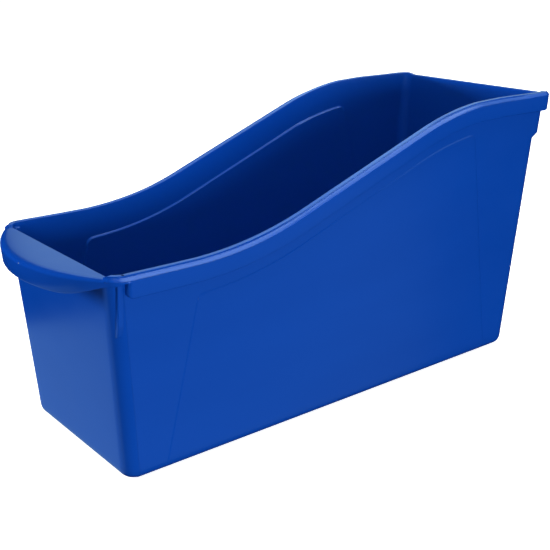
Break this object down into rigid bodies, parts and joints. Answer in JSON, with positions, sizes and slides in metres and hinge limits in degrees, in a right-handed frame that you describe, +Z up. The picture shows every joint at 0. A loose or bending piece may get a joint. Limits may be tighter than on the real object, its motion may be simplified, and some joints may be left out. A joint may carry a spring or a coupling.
{
  "type": "book bin",
  "caption": "Deep narrow plastic bin for books, low at the front and tall at the back, with an S-curved flanged rim and a hooded pull handle.",
  "frame": {"origin": "centre of the bounding box in plan, on the plane the bin stands on", "axes": "+Z up, +Y from the handle end to the tall end, +X to the right when looking at the handle end"},
  "size_m": [0.135, 0.3542, 0.1793],
  "materials": {
    "blue_polypropylene": "satin"
  },
  "bodies": {
    "root": {"floor_pan": "blue_polypropylene", "front_wall": "blue_polypropylene", "rear_wall": "blue_polypropylene", "left_wall": "blue_polypropylene", "right_wall": "blue_polypropylene", "left_rim": "blue_polypropylene", "right_rim": "blue_polypropylene", "rear_rim": "blue_polypropylene", "pull_handle": "blue_polypropylene", "left_stacking_rib": "blue_polypropylene", "right_stacking_rib": "blue_polypropylene"}
  },
  "joints": []
}
